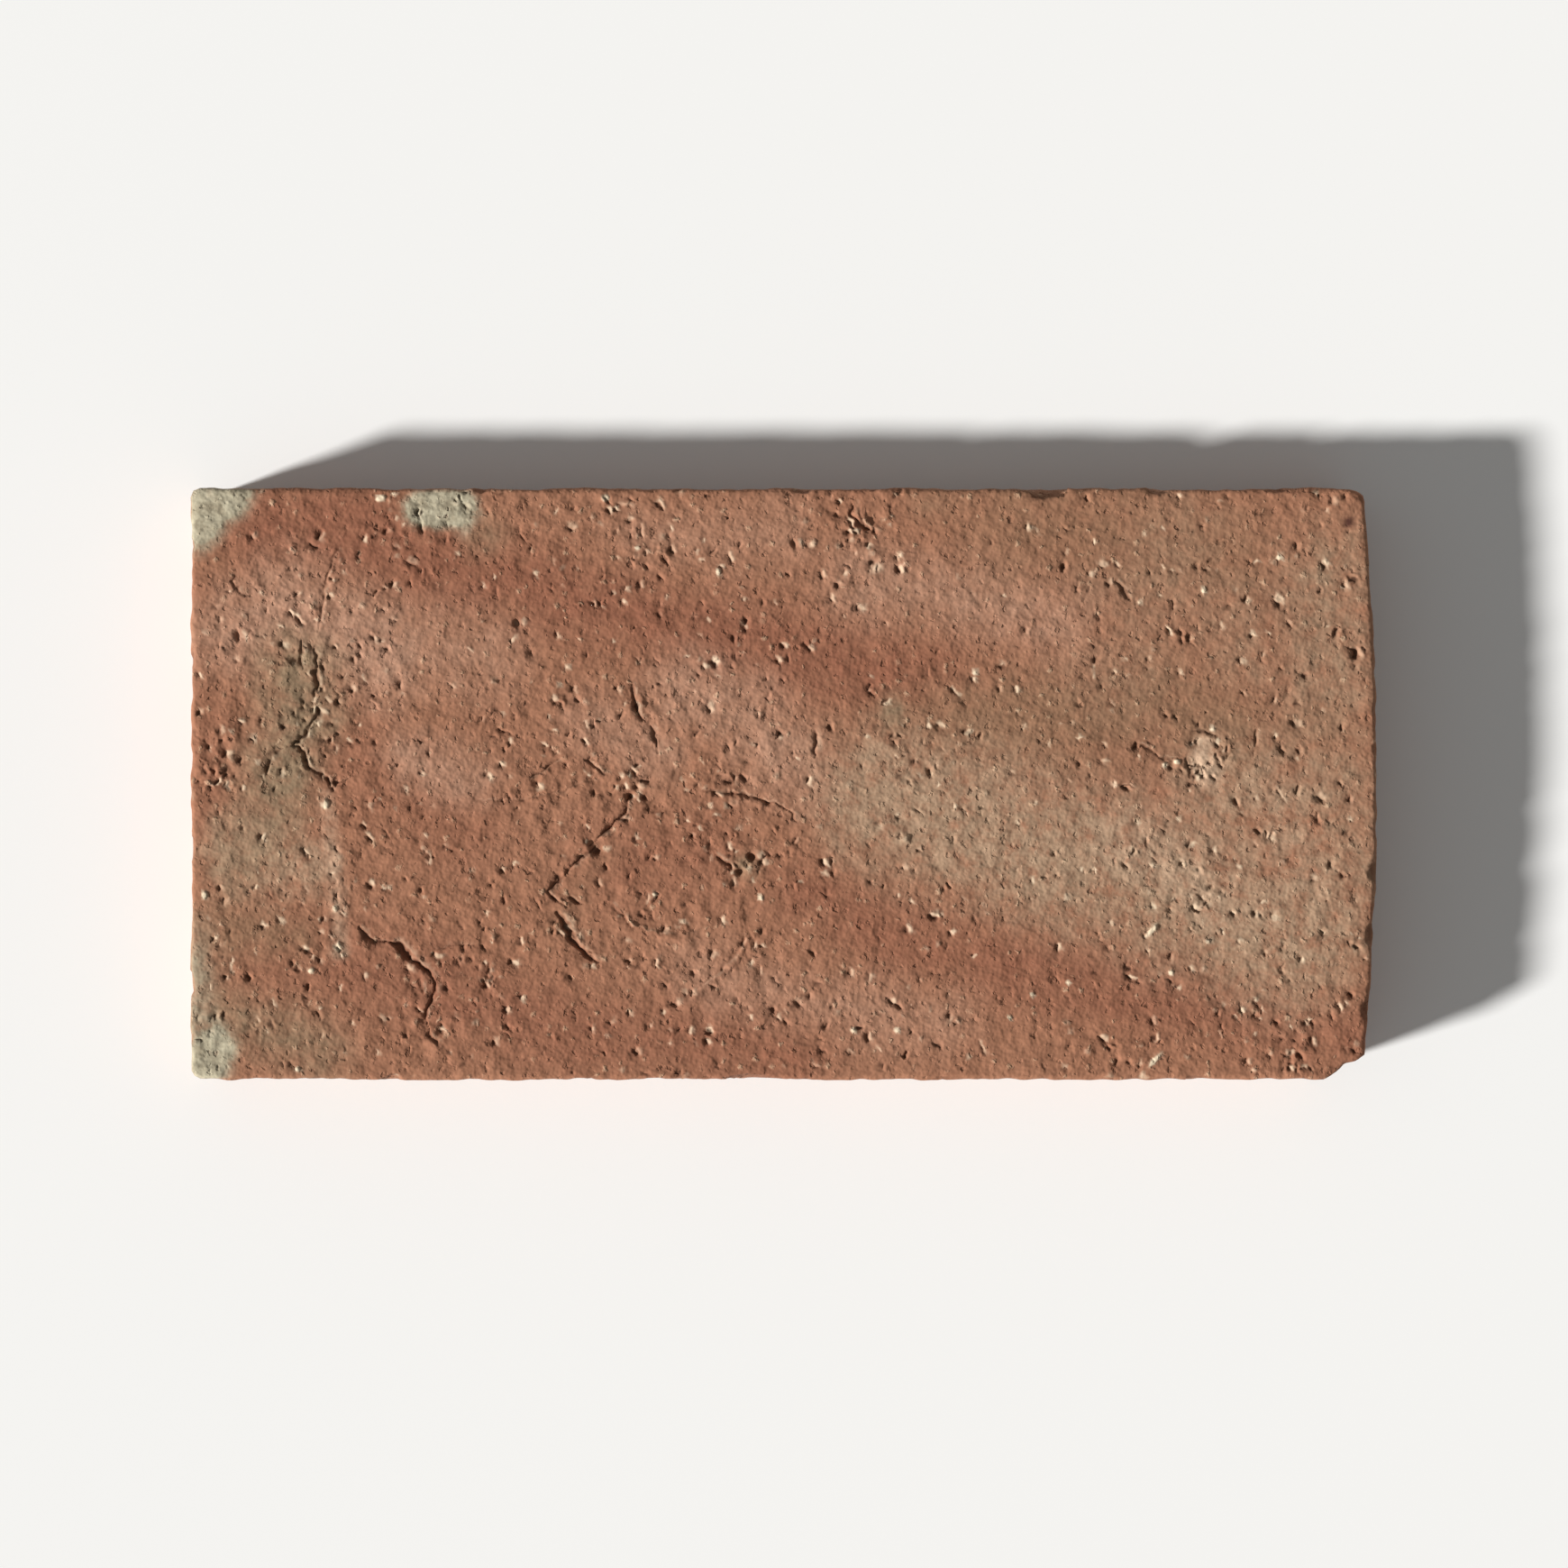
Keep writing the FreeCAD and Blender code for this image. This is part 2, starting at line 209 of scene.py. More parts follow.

# %% [markdown]
# ## Cracks, pits and grains
# Fired clay shows how it was worked: short drying cracks, pits where straw burnt out or a stone fell
# away, and lime that swelled in the kiln. They could be sculpted by hand, but a list can be read,
# measured and changed. Each mark is placed, in millimetres from the middle of the face. A crack
# is a line of points with a half width and a depth. A pit or grain is an oval with a turn, in degrees.

# %% Cracks and ridges
# half width, depth or height, and line
CRACKS = [
    (0.5, 1.0, [(-107, -36), (-106, -38.5), (-103, -39.5), (-98.5, -39.7)]),
    (0.95, 1.6, [(-100, -39.5), (-97.5, -40.5), (-95, -43.5), (-92.5, -45)]),
    (0.6, 1.2, [(-93.5, -44.5), (-91, -46), (-88.5, -49)]),
    (0.6, 1.2, [(-88.5, -49), (-88, -51.5), (-89, -55), (-90.5, -59)]),
    (0.4, 0.6, [(-90.5, -59), (-89, -63), (-87, -66)]),
    (0.35, 0.5, [(-91.5, -49), (-90.8, -53)]),
    (0.55, 1.2, [(-38.5, -3.5), (-41, -8), (-45, -13), (-49, -15.5)]),
    (0.45, 0.9, [(-48, -16), (-53, -20), (-57, -24.5), (-59.5, -27), (-57, -29.5), (-54.5, -31)]),
    (0.65, 1.1, [(-54, -29), (-50.5, -30.3)]),
    (0.85, 1.5, [(-57, -32.5), (-54.7, -36.5), (-53.5, -39.5), (-50, -43), (-46.5, -45)]),
    (0.4, 0.6, [(-64, 1), (-57, 6)]),
    (0.35, 0.4, [(-77, -3.8), (-69, -4), (-60, -3), (-53, 0), (-48, 1)]),
    (0.4, 0.7, [(-50, 6.5), (-45, 3)]),
    (0.5, 0.9, [(-38.5, 25), (-37.5, 20), (-35.5, 16)]),
    (0.45, 0.8, [(-34, 15), (-32.5, 11), (-31.5, 8)]),
    (0.45, 0.7, [(-20, -2), (-14, -1.5), (-8, -3), (-2, -5), (2, -7.5), (3, -10)]),
    (0.4, 0.2, [(-11, -34), (-9.5, -37.5), (-12, -43), (-20, -50), (-23, -53)]),
    (0.4, 0.25, [(-43, -30), (-38, -36), (-32, -38), (-26, -38), (-21, -36)]),
    (0.4, 0.4, [(-112.5, 59), (-115, 53), (-116.5, 45), (-117.5, 38)]),
    (0.55, 0.9, [(-118.5, 34), (-117.8, 25), (-118, 20)]),
    (0.5, 0.8, [(-122, 36), (-122.5, 31), (-121, 29.5)]),
    (0.4, 0.6, [(-138.5, 54), (-139.5, 51), (-138, 48), (-137, 47)]),
    (0.55, 0.9, [
        (-117.5, 17), (-120, 14), (-121, 12), (-124, 9.5), (-121, 8), (-120, 4), (-114, 0.5), (-110, 1),
    ]),
    (0.45, 0.7, [(-124, 9.5), (-129, 8), (-130.5, 2)]),
    (0.5, 0.8, [(8, 14), (8.4, 10), (8.3, 6.5)]),
    (0.7, 0.9, [(17, 71), (17, 68), (20, 65), (23, 63.5)]),
    (0.4, 0.6, [(119, 14), (118.7, 10)]),
    (0.45, 0.7, [(102.5, 13), (106, 13.6), (109, 11.5)]),
    (0.45, 0.7, [(101.2, 6.5), (102, 3), (103.8, -0.5)]),
    (0.4, 0.5, [(89, 10.5), (94, 7), (100, 6.5)]),
    (0.4, 0.6, [(-17, -17), (-14, -21)]),
    (0.35, 0.4, [(-88, -41), (-77, -41)]),
    (0.35, 0.4, [(-74, -45), (-74, -53)]),
    (0.5, 0.7, [(83.5, 51), (86, 49), (87.5, 46.5)]),
]
RIDGES = [
    (0.6, 0.45, [(-29.5, 27), (-28, 22), (-26, 18.5)]),
    (0.6, 0.6, [(-10.2, -34.5), (-8.7, -38), (-11.2, -43.5), (-19.2, -50.5), (-22.2, -53.5)]),
    (0.6, 0.55, [(-42, -30.5), (-37, -36), (-31, -38.3), (-25, -37.8)]),
    (0.6, 0.5, [(19, 71.5), (20, 67.5), (22.5, 65)]),
    (0.5, 0.35, [(-36.8, 24), (-34.2, 16)]),
    (0.55, 0.45, [(-111.6, 57), (-113.8, 50), (-115.6, 42)]),
    (0.5, 0.4, [(-19, -3.4), (-13, -3), (-7, -4.5), (0, -7)]),
]
print(f"{len(CRACKS)} cracks, {len(RIDGES)} ridges")

# %% Holes, pits and grains
# x, y, half width, half length and turn
HOLES = [
    (-137.7, 37.5, 0.9, 2.2, 0), (-67.5, 40.5, 1.1, 1.4, 0), (2.5, 60.5, 1, 1.7, 10),
    (-38.7, -3.2, 1.2, 1.2, 0), (-35.2, -3.5, 0.9, 0.9, 0), (-8.2, -18.5, 1.4, 1.9, 0),
    (-11.2, -22, 1.5, 1.0, 0), (-47.2, -16.8, 1.5, 1.3, 0),
]
PITS = [
    (-133.8, 62, 0.9, 1.2, 20), (-129, 63.5, 0.8, 1.1, 0), (-125, 59, 0.7, 1.3, 0),
    (-122.5, 48, 0.8, 0.9, 0), (-123, 42.5, 0.7, 0.9, 30), (-126, 35, 0.8, 1, 0),
    (-103, 36.5, 1, 0.9, 0), (-106.7, 57.5, 0.7, 1.7, 0), (-104, 53, 0.8, 0.8, 0),
    (-118.3, 20.5, 0.8, 1, 0), (-127, 18, 0.5, 1.5, 40), (-103.5, 20, 0.6, 1.8, 40),
    (-68.8, 36, 0.8, 1, 0), (-66, 62, 0.6, 1.8, 40), (-63.5, 59.5, 0.8, 0.9, 0),
    (-57.5, 69, 0.6, 1.5, -35), (-57.5, 37.5, 0.7, 0.8, 0), (-53, 23.5, 0.9, 1, 0),
    (-76, 50, 0.8, 0.8, 0), (-89, 8, 0.9, 0.9, 0), (-130, 4, 0.8, 1, 0), (-114, 11, 0.8, 1.2, 0),
    (-31.8, 59, 0.8, 1, 0), (-38.5, 55.5, 0.8, 1.1, 0), (-43, 48, 1, 0.9, 0),
    (-20.5, 46, 0.8, 1.2, 0), (27.3, 70, 0.8, 1.2, 0), (1.2, 53, 0.8, 0.9, 0),
    (25.5, 41, 0.8, 1, 0), (-4.5, 27, 0.9, 0.9, 0), (38.7, 33, 0.7, 0.9, 0),
    (47.8, 26.5, 0.9, 0.8, 0), (22.5, 22.5, 0.8, 1, 0), (11.5, 14.5, 0.9, 1, 0),
    (20, 5, 0.8, 0.7, 0), (92.7, 53, 0.9, 0.9, 0), (98, 44.5, 0.8, 1, 0),
    (104.2, 39.5, 0.6, 1.6, 0), (120.7, 31.7, 0.6, 1.6, -10), (115.5, 22.5, 0.9, 1, 0),
    (99.5, 28, 0.7, 0.8, 0), (143, 34, 0.8, 0.9, 0), (-16.5, -3, 0.7, 0.8, 0),
    (-13.8, -21.2, 0.9, 0.9, 0), (-5.2, -19.5, 0.9, 1.1, 0), (-23, -13.5, 0.9, 1, 0),
    (-28, -15, 0.8, 1.1, 30), (2.8, -14.5, 0.9, 1.1, 0), (2.8, -26, 0.7, 1.4, 0),
    (-32, -29.5, 1.1, 1.1, 0), (-70.5, -29, 0.8, 1.5, 0), (-68.5, -45, 1.1, 1.2, 0),
    (-86, -45.5, 0.8, 0.9, 0), (-69.8, -56.5, 0.9, 1.1, 0), (-73, -49, 0.7, 1, 0),
    (-53.5, -49, 0.8, 0.9, 0), (-48.5, -46, 0.8, 0.8, 0), (-48.5, -61.5, 0.9, 1, 0),
    (-45.5, -67.5, 0.8, 0.8, 0), (-38.5, -57.5, 0.8, 0.9, 0), (-17.8, -62.5, 0.9, 0.9, 0),
    (-3, -57, 0.8, 1, 0), (7, -43, 0.9, 1.2, 30), (16.5, -47.5, 0.8, 0.9, 0),
    (33, -62.5, 0.9, 1.1, 0), (-142.5, -7.5, 0.9, 1, 0), (-136.5, -11.5, 1, 0.9, 0),
    (-131.5, -13.5, 0.8, 0.9, 0), (-121, -16.5, 0.8, 0.8, 0), (-133.5, -26, 0.8, 1, 0),
    (-141, -29.5, 0.8, 0.8, 0), (-116, -33.5, 0.8, 1.1, 0), (-116.5, -40.5, 0.8, 1.1, 0),
    (-142.5, -36, 0.8, 0.8, 0), (-144, -39.5, 0.9, 0.9, 0), (-120, -51, 0.8, 0.9, 0),
    (-117, -58, 0.8, 1.6, 35), (-101.5, -59, 0.6, 1.6, 40), (-147, -58.5, 1, 1.2, 0),
    (-143.5, -58.8, 0.9, 1.1, 0), (-141, -58.3, 0.8, 0.9, 0), (81.7, -41.3, 0.9, 0.9, 0),
    (103, -37, 0.8, 1, 40), (143.5, -52, 0.9, 0.9, 0), (109, -58, 0.7, 1.3, -20),
    (103, -60, 0.6, 1.8, 40), (115.5, -57, 0.8, 0.8, 0), (116.5, -69.5, 0.8, 1, 0),
    (128, -70, 1.1, 1.4, 40), (135.5, -36.5, 0.9, 0.9, 30), (-140.5, 8, 1.1, 0.8, 0),
    (-137, 5.5, 0.8, 0.8, 0), (-143, 10.5, 0.8, 0.8, 0), (-138.5, 2, 0.9, 0.8, 0),
    (130, -1.5, 0.9, 1.1, 0), (112, 9, 0.8, 1, 0),
]
LIME_GRAINS = [
    (-101.5, 72, 1.7, 1.1, 15), (-98.3, 73.2, 0.8, 0.7, 0), (-45, 72, 1.4, 1.2, 0),
    (-146, -28, 0.8, 1.5, 0), (-122.5, -72, 1.0, 0.8, 0), (105.8, 48.7, 0.8, 0.8, 0),
    (124.8, 57, 0.9, 1, 0), (106.8, -39.5, 0.9, 0.8, 0), (17.5, -62, 0.9, 0.8, 0),
    (28.5, -62, 0.9, 0.8, 0), (97.5, -47.5, 0.9, 0.8, 0), (-32.6, -27.8, 0.8, 0.7, 0),
    (92.5, -37, 0.8, 2.9, -42), (93.5, -69.5, 0.75, 3.0, -45), (108, 13.8, 0.9, 0.8, 0),
    (96, 4.8, 0.9, 0.8, 0), (99, 5.6, 0.9, 0.7, 0), (-16.5, 53.5, 0.8, 1.4, 0),
    (-37, 59.5, 0.9, 0.7, 0), (62.5, -53, 0.7, 0.7, 0), (-5.8, -28.7, 0.8, 0.8, 0),
    (71.5, -50, 0.7, 0.6, 0), (57, -59, 0.7, 0.7, 0), (48, 28, 0.7, 0.7, 0),
    (-119, -47, 1.1, 0.9, 0), (-113, -31.5, 0.8, 1.2, 0), (-115.3, -5, 1.2, 1.8, 0),
    (-112.3, -41, 0.8, 1.6, 0),
]
print(f"{len(HOLES)} holes, {len(PITS)} pits, {len(LIME_GRAINS)} lime grains")

# %% [markdown]
# ## Smaller marks
# Between the marks that the eye picks out lie more than a thousand small ones, where the board that
# struck the clay level plucked out its grit. A particle system could scatter them as objects, but they
# have to become one surface with the face. So they are drawn by chance as ovals, with a fixed seed, and
# every run gives the same tile. Noise thins them out in drifts, and a list of crumbly places gets more
# of them.

# %% Marks strewn by chance
draw = random.Random(27)
DRIFT = 24  # size of the drifts


def strew(count, half_wides, stretches, turns):
    """Ovals over the face, from ranges of half width, of length as a share of it, and of turn."""
    ovals = []
    while len(ovals) < count:
        x = draw.uniform(-LENGTH / 2, LENGTH / 2)
        y = draw.uniform(-WIDTH / 2, WIDTH / 2)
        half_wide = half_wides[0] + (half_wides[1] - half_wides[0]) * draw.random() ** 1.5
        oval = (x, y, half_wide, half_wide * draw.uniform(*stretches), draw.uniform(*turns))
        if draw.random() < 0.5 + 0.8 * noise.noise((x / DRIFT, y / DRIFT, 9)):
            ovals.append(oval)
    return ovals


small_pits = strew(950, (0.42, 1.0), (0.9, 1.8), (-35, 75))
furrows = strew(160, (0.4, 0.6), (2, 4), (-10, 65))
crumbs = strew(120, (0.5, 0.85), (1, 1.5), (0, 180))
print(f"{len(small_pits)} small pits, {len(furrows)} furrows, {len(crumbs)} crumbs")

# %% Crumbly places
# middle of each place, its spread, and how many marks it has
CRUMBLY = [
    (106, 6, 5, 30), (127, -69, 5, 20), (20, 67, 5, 16), (-118, 22, 9, 34), (-140, 5, 6, 18),
    (-12, -52, 8, 24), (-18, -16, 13, 44), (-90, -62, 6, 14), (-50, 2, 10, 22), (100, -33, 9, 20),
    (-99, 66, 3.5, 10), (-114, -40, 4, 14), (-76, -42, 5, 12), (-88, -64, 5, 10),
]
for x, y, spread, count in CRUMBLY:
    for _ in range(count):
        half_wide = draw.uniform(0.4, 0.85)
        spot = (draw.gauss(x, spread), draw.gauss(y, spread))
        small_pits.append((*spot, half_wide, half_wide * draw.uniform(0.9, 1.9), draw.uniform(-35, 75)))
print(f"{len(small_pits)} small pits with those of {len(CRUMBLY)} crumbly places")

# %% [markdown]
# ## A finer mesh where it is needed
# A crack half a millimetre wide would be a row of beads on this grid, and a grid that fine all over
# would be many times too heavy. A Multires modifier refines all of a mesh at once, so the edges near a
# mark are subdivided here by hand, and those inside it once more.


# %% Distances to the marks
def distance_to_line(points, line):
    """Distance of each point from a line of points, and how far along the line it lies, from 0 to 1."""
    nearest = np.full(len(points), np.inf)
    along = np.zeros(len(points))
    lengths = [math.dist(a, b) for a, b in zip(line, line[1:])]
    total = sum(lengths) or 1
    walked = 0
    for a, b, length in zip(line, line[1:] or line, lengths or [1]):
        a = np.array(a, float)
        step = np.array(b, float) - a
        share = np.clip((points - a) @ step / max(length, 1e-9) ** 2, 0, 1)
        gap = np.linalg.norm(points - a - share[:, None] * step, axis=1)
        closer = gap < nearest
        nearest[closer] = gap[closer]
        along[closer] = (walked + share[closer] * length) / total
        walked += length
    return nearest, along


def across_oval(points, oval):
    """Place of each point along an oval's own two axes, where 1 is the oval's edge."""
    x, y, half_wide, half_long, turn = oval
    turn = math.radians(turn)
    dx = points[:, 0] - x
    dy = points[:, 1] - y
    wide = (dx * math.cos(turn) + dy * math.sin(turn)) / half_wide
    long = (dy * math.cos(turn) - dx * math.sin(turn)) / half_long
    return wide, long


def oval_distance(points, oval):
    """Distance of each point from the middle of an oval, as a share of the oval's own size."""
    return np.hypot(*across_oval(points, oval))


def crooked(spots):
    """Places in the plan pushed about by noise, so that a line drawn in them wanders as a crack does."""
    shifts = []
    for row in (71, 79):
        bend = [noise.noise((x / 5, y / 5, row)) for x, y in spots]
        kink = [noise.noise((x / 1.6, y / 1.6, row)) for x, y in spots]
        shifts.append(0.9 * np.array(bend) + 0.6 * np.array(kink))
    return spots + np.array(shifts).T


middle = np.zeros((1, 2))
nearest_crack = min(distance_to_line(middle, line)[0][0] for _, _, line in CRACKS)
print(f"from the middle of the face to the nearest crack: {nearest_crack:.1f} mm")


# %% Finer cells at the marks
def refine(mesh, near):
    """Halves the edges of the face whose two ends are both near a mark."""
    verts = [vert for vert in mesh.verts if vert.co.z > FACE_LEVEL - 1e-3]
    chosen = near(np.array([vert.co.xy for vert in verts]))
    picked = {vert for vert, pick in zip(verts, chosen) if pick}
    edges = [edge for edge in mesh.edges if edge.verts[0] in picked and edge.verts[1] in picked]
    bmesh.ops.subdivide_edges(mesh, edges=edges, cuts=1, use_grid_fill=True)


# a plucked mark runs on beyond its oval on one side, so its middle is shifted and its width stretched
RAMP_MIDDLE = 0.4
RAMP_LENGTH = 1.35


def near_marks(spots):
    """Whether each place lies in or beside a crack, a ridge, a pit or a grain."""
    near = np.zeros(len(spots), bool)
    bent = crooked(spots)
    for half_wide, _, line in CRACKS + RIDGES:
        near |= distance_to_line(bent, line)[0] < half_wide + CELL
    for oval in HOLES + LIME_GRAINS + crumbs:
        near |= oval_distance(spots, oval) * min(oval[2:4]) < min(oval[2:4]) + CELL / 2
    for oval in PITS + small_pits + furrows:
        wide, long = across_oval(bent, oval)
        reach = np.hypot((wide - RAMP_MIDDLE) / RAMP_LENGTH, long)
        near |= reach * min(oval[2:4]) < min(oval[2:4]) + CELL / 2
    return near


def in_marks(spots):
    """Whether each place lies inside a crack, a hole, a lime grain or a plucked mark."""
    near = np.zeros(len(spots), bool)
    bent = crooked(spots)
    for half_wide, _, line in CRACKS:
        near |= distance_to_line(bent, line)[0] < half_wide + CELL / 3
    for oval in HOLES + LIME_GRAINS:
        near |= oval_distance(spots, oval) < 1.1
    for oval in PITS + small_pits + furrows:
        wide, long = across_oval(bent, oval)
        near |= np.hypot((wide - RAMP_MIDDLE) / RAMP_LENGTH, long) < 1
    return near


refine(tile, near_marks)
refine(tile, in_marks)
# a point that only splits an edge would give a folded pair of triangles, so it goes
edge_points = [vert for vert in tile.verts if len(vert.link_edges) == 2]
bmesh.ops.dissolve_verts(tile, verts=edge_points)
tile.normal_update()
triangles = sum(len(face.verts) - 2 for face in tile.faces)
print(f"refined: {len(tile.faces)} faces, {triangles} triangles")

# %% [markdown]
# ## Relief
# The face is crumbly: it was never polished, and wear has plucked grit out of it. Every vertex moves
# along its own normal by a sum of heights: broad waves from the hand, lumps, and then each of the
# marks. A Displace modifier could do one of these layers, but not all of them at once with the placed
# marks. Blender's noise is used here with a size in millimetres, so that each layer can be compared
# with the real surface.

# %% Noise in millimetres
points = np.array([vert.co for vert in tile.verts])
normals = np.array([vert.normal for vert in tile.verts])
plan = points[:, :2]
# how far each vertex belongs to the face, the bed and the sides, by the slope of its normal
SLOPE_FROM = 0.3
SLOPE_SPAN = 0.5
on_face = np.clip((normals[:, 2] - SLOPE_FROM) / SLOPE_SPAN, 0, 1)
on_bed = np.clip((-normals[:, 2] - SLOPE_FROM) / SLOPE_SPAN, 0, 1)
on_side = 1 - on_face - on_bed


def swell(share):
    """Smooth step from 0 at a mark's edge to 1 at its middle."""
    share = np.clip(share, 0, 1)
    return share * share * (3 - 2 * share)


def noise_field(size, shift, stretch=(1, 1, 1)):
    """Smooth noise from about -1 to 1 over the vertices, with bumps of a size in millimetres."""
    return np.array([noise.noise(spot) for spot in points / (np.array(stretch) * size) + shift])


ragged = noise_field(size=1.7, shift=31)
print(f"{len(points)} vertices, {int(on_face.sum())} of them on the face")

# %% Waves and lumps
# rougher and smoother patches, with a little more roughness to the left
HALF_FACE = 150
patchy = np.clip(1.0 - 0.15 * plan[:, 0] / HALF_FACE + 0.8 * noise_field(size=24, shift=5), 0.5, 1.6)
broad = 0.30 * noise_field(size=60, shift=3) + 0.16 * noise_field(size=21, shift=7)
crumbly = np.zeros(len(points))
for x, y, spread, _ in CRUMBLY:
    away = np.linalg.norm(plan - (x, y), axis=1)
    crumbly = np.maximum(crumbly, np.exp(-((away / (2 * spread)) ** 2)))
fine_lumps = 0.31 * noise_field(size=2.8, shift=17) + 0.13 * ragged
lumps = 0.24 * noise_field(size=6, shift=11) + (1 + crumbly) * fine_lumps
rough_side = (
    0.4 * noise_field(size=9, shift=41, stretch=(2.5, 2.5, 1))
    + 0.45 * noise_field(size=5, shift=43)
    + 0.25 * noise_field(size=2.6, shift=47)
)
hollow_bed = 0.5 * np.abs(noise_field(size=14, shift=53))
relief = on_face * (broad + patchy * lumps) + on_side * rough_side - on_bed * hollow_bed
print(f"waves and lumps from {relief.min():.2f} to {relief.max():.2f} mm")

# %% Cracks and ridges in the relief
# a crack narrows to its ends and opens unevenly, with painted shade in its groove, and its far lip
# stands up, broken, with a pale painted highlight where it faces the sun
LIP_SHIFT = np.array([1.9, 0.6])  # in half widths
uneven = noise_field(size=4, shift=37)
hollow_shade = np.zeros(len(points))
lime_and_highlight = np.zeros(len(points))
bent = crooked(plan)
for half_wide, depth, line in CRACKS:
    gap, along = distance_to_line(bent, line)
    taper = 0.4 + 0.6 * np.sin(np.pi * np.clip(along, 0.03, 0.97))
    opening = 1.25 * half_wide * taper * np.clip(1 + 1.1 * uneven + 0.7 * ragged, 0.35, 2)
    groove = on_face * np.clip(1 - gap / opening, 0, 1) ** 0.7
    beyond, _ = distance_to_line(bent - half_wide * LIP_SHIFT, line)
    broken = np.clip(0.5 + uneven + 0.9 * ragged, 0, 1)
    lip = swell(1 - beyond / (1.1 * half_wide)) * broken * (1 - groove)
    relief += taper * (0.65 * half_wide * on_face * lip - depth * groove)
    # painted shade in the groove
    hollow_shade = np.maximum(hollow_shade, min(0.8, depth) * groove)
    # a pale painted highlight on the lip, whose side toward the crack faces the sun
    lime_and_highlight = np.maximum(lime_and_highlight, 0.35 * taper * on_face * lip)
for half_wide, height, line in RIDGES:
    gap, along = distance_to_line(bent, line)
    taper = np.sin(np.pi * np.clip(along, 0.05, 0.95))
    relief += on_face * height * swell(1 - gap / half_wide) * taper
print(f"deepest crack {-relief.min():.2f} mm")

# %% [markdown]
# ## Holes, grains and plucked marks
# A grain that is torn out of stiff clay leaves a small scoop: steep where it was caught, with a long
# ramp on the far side. The steep side faces away from the sun and gets painted shade, and the ramp
# faces the sun and gets a pale painted highlight. Booleans with spheres would leave round dimples, and
# there are too many for them. So one function lays the same profile across every oval, crooked by
# noise, and its depth and paleness come by chance. A hole is simply sunk, with painted shade in it and
# a painted highlight on its far wall, and a lump of lime or a crumb is raised.


# %% Holes and grains in the relief
def press_hole(oval, depth):
    """Sinks an oval into the face, and darkens it with painted shade."""
    share = on_face * swell(1.4 * (1 - oval_distance(plan, oval) - 0.35 * ragged))
    np.add(relief, -depth * share, out=relief)
    # the hole is darkened with painted shade
    np.maximum(hollow_shade, 0.5 * share, out=hollow_shade)


def raise_grain(oval, height, whiteness):
    """Raises an oval out of the face and pales it: a white grain, or a painted highlight on a far wall."""
    share = on_face * swell(1.6 * (1 - oval_distance(plan, oval) - 0.35 * ragged))
    np.add(relief, height * share, out=relief)
    np.maximum(lime_and_highlight, whiteness * share, out=lime_and_highlight)


for oval in HOLES:
    press_hole(oval, depth=1.1 * min(oval[2:4]))
    x, y, half_wide, half_long, turn = oval
    # the far wall faces the sun and is raised with a pale painted highlight
    far_wall = (x + 1.6 * half_wide, y + 0.5 * half_wide, 0.7 * half_wide, 0.8 * half_long, turn)
    raise_grain(far_wall, height=0.45 * half_wide, whiteness=0.45)
print(f"{len(HOLES)} holes sunk")

# %% Plucked marks in the relief
# places across a scoop, and what it has there: its height, its painted shade on the steep near side,
# and its pale painted highlight on the ramp that faces the sun
SCOOP_PROFILE = ([-1.0, -0.7, -0.4, 0.8, 1.2, 1.9], [0, -0.5, -0.6, 0.12, 0.15, 0])
SCOOP_SHADE = ([-1.0, -0.7, -0.3, 0.0], [0, 1, 1, 0])
SCOOP_HIGHLIGHT = ([-0.2, 0.3, 1.0, 1.6], [0, 1, 1, 0])


def scoop(oval, depth, whiteness):
    """Cuts a mark with painted shade on its steep near side and a pale painted highlight on its far ramp.
    """
    wide, long = across_oval(bent, oval)
    wide = wide + 0.5 * ragged
    share = on_face * swell(1.6 * (1 - np.abs(long + 0.6 * uneven) - 0.3 * ragged))
    np.add(relief, depth * share * np.interp(wide, *SCOOP_PROFILE), out=relief)
    # painted shade on the steep near side, which faces away from the sun
    np.maximum(hollow_shade, 0.9 * share * np.interp(wide, *SCOOP_SHADE), out=hollow_shade)
    # a pale painted highlight on the ramp, which faces the sun
    np.maximum(lime_and_highlight, whiteness * share * np.interp(wide, *SCOOP_HIGHLIGHT), out=lime_and_highlight)


plucked = PITS + small_pits + furrows
# many marks get no painted highlight, and the rest get a pale one of chance strength
for oval in plucked:
    depth = min(oval[2:4]) * draw.uniform(0.9, 1.6)
    scoop(oval, depth, whiteness=max(0, draw.uniform(-0.7, 0.62)))
print(f"{len(plucked)} plucked marks")

# %% Lime and crumbs, and the finished relief
for oval in LIME_GRAINS:
    raise_grain(oval, height=0.55 * min(oval[2:4]), whiteness=1)
for oval in crumbs:
    raise_grain(oval, height=0.7 * oval[2], whiteness=0.25)
# what stands proud is eased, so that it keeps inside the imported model's box
room = ROOM_ABOVE * on_face + ROOM_BESIDE * on_side + 0.1
relief = np.where(relief > 0, room * np.tanh(relief / room), relief)
points += normals * relief[:, None]
print(f"relief from {relief.min():.2f} to {relief.max():.2f} mm")

# %% [markdown]
# ## Nicks in the edges
# Small flakes have left the upper edges. A boolean with an ellipsoid would cut them cleanly, but it
# would also break the even mesh, so the vertices inside each ellipsoid slide inwards and down until
# they reach its wall.

# %% Bite the edges
END_ZONE = 140  # beyond it a nick is in an end, and otherwise in a long side
SLIDE_DOWN = 0.6  # how far a vertex sinks for each millimetre inwards
# how dark the painted shade in a nick is
NICK_SHADE = 0.25
